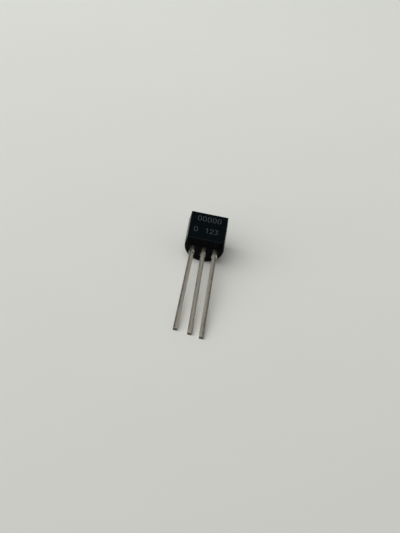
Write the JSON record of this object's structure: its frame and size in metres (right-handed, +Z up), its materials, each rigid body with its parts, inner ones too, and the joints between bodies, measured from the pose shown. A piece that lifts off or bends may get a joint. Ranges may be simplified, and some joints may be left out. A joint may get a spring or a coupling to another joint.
{
  "type": "to-92 transistor",
  "caption": "Small-signal through-hole transistor: a black D-shaped moulded case with a flat front and a round back, and three straight tinned leads side by side.",
  "frame": {"origin": "on the surface that the part lies on, below the middle of the whole part's box", "axes": "+Z up from the surface; +Y towards the top end of the case, with the three leads running towards -Y; +X to the right seen from above with the leads towards the viewer. The part lies on its round back with the flat front up, and the leads slope 8.5 degrees down to the surface."},
  "size_m": [0.0044, 0.0182, 0.0041],
  "materials": {
    "case_epoxy": "satin moulded epoxy, with a faint grey laser marking on the flat front",
    "tinned_lead": "dull satin tin plate",
    "silver_adhesive": "matte silver-filled adhesive",
    "silicon": "polished silicon with bright bond pads",
    "bond_wire": "bright fine wire"
  },
  "bodies": {
    "root": {"body": "case_epoxy", "emitter_lead": "tinned_lead", "base_lead": "tinned_lead", "collector_lead": "tinned_lead", "die_attach": "silver_adhesive", "silicon_die": "silicon", "emitter_bond_wire": "bond_wire", "base_bond_wire": "bond_wire"}
  },
  "joints": []
}
